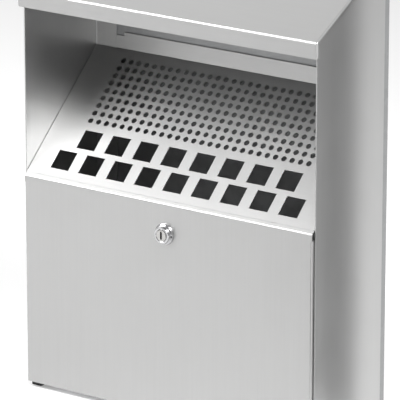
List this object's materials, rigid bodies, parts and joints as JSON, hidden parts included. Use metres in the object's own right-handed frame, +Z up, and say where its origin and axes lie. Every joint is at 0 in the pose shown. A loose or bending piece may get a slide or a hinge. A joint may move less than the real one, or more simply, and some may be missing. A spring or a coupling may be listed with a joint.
{
  "type": "ashtray bin",
  "caption": "Wall ashtray bin in folded sheet steel with a sloping hood, a perforated stub plate, a locking drop-down front and a lift-out liner.",
  "frame": {"origin": "on the ground, at the middle of the whole object's box", "axes": "+X to the right seen from the front, +Y to the wall behind, +Z up"},
  "size_m": [0.365, 0.1438, 0.4977],
  "materials": {
    "brushed_steel": "satin brushed",
    "galvanised_sheet": "galvanised",
    "zinc_steel": "zinc plated",
    "chrome_lock": "polished",
    "nickel_plug": "satin nickel",
    "black_rubber": "matt"
  },
  "bodies": {
    "root": {"left_side": "brushed_steel", "right_side": "brushed_steel", "back_pan": "galvanised_sheet", "floor_panel": "brushed_steel", "roof_cap": "brushed_steel", "roof_nuts": "zinc_steel", "latch_rail": "brushed_steel", "door_buffers": "black_rubber", "back_rivets": "zinc_steel", "wall_spacers": "black_rubber", "feet": "black_rubber", "foot_screws": "zinc_steel", "hinge_leaf_body": "zinc_steel", "hinge_pin": "zinc_steel", "hinge_rivets": "zinc_steel"},
    "front": {"hinge_leaf_door": "zinc_steel", "front_panel": "brushed_steel", "stub_plate": "brushed_steel", "lock_collar": "chrome_lock", "lock_body": "chrome_lock", "lock_washer": "zinc_steel", "lock_nut": "zinc_steel"},
    "lock": {"lock_plug": "nickel_plug", "lock_cam": "zinc_steel", "cam_screw": "zinc_steel"},
    "liner": {"liner": "galvanised_sheet", "liner_ears": "zinc_steel", "ear_rivets": "zinc_steel"},
    "bail": {"bail": "zinc_steel"}
  },
  "joints": [
    {"name": "front_hinge", "type": "hinge", "parent": "root", "child": "front", "pos_m": [0, -0.0614, 0.0085], "axis": [1, 0, 0], "range_deg": [0, 85]},
    {"name": "lock_turn", "type": "hinge", "parent": "front", "child": "lock", "pos_m": [0, -0.0651, 0.2], "axis": [0, 1, 0], "range_deg": [0, 90]},
    {"name": "liner_lift", "type": "slide", "parent": "root", "child": "liner", "axis": [0, 0, 1], "range_m": [0, 0.05]},
    {"name": "bail_swing", "type": "hinge", "parent": "liner", "child": "bail", "pos_m": [0, 0.01255, 0.1808], "axis": [-1, 0, 0], "range_deg": [0, 180]}
  ]
}
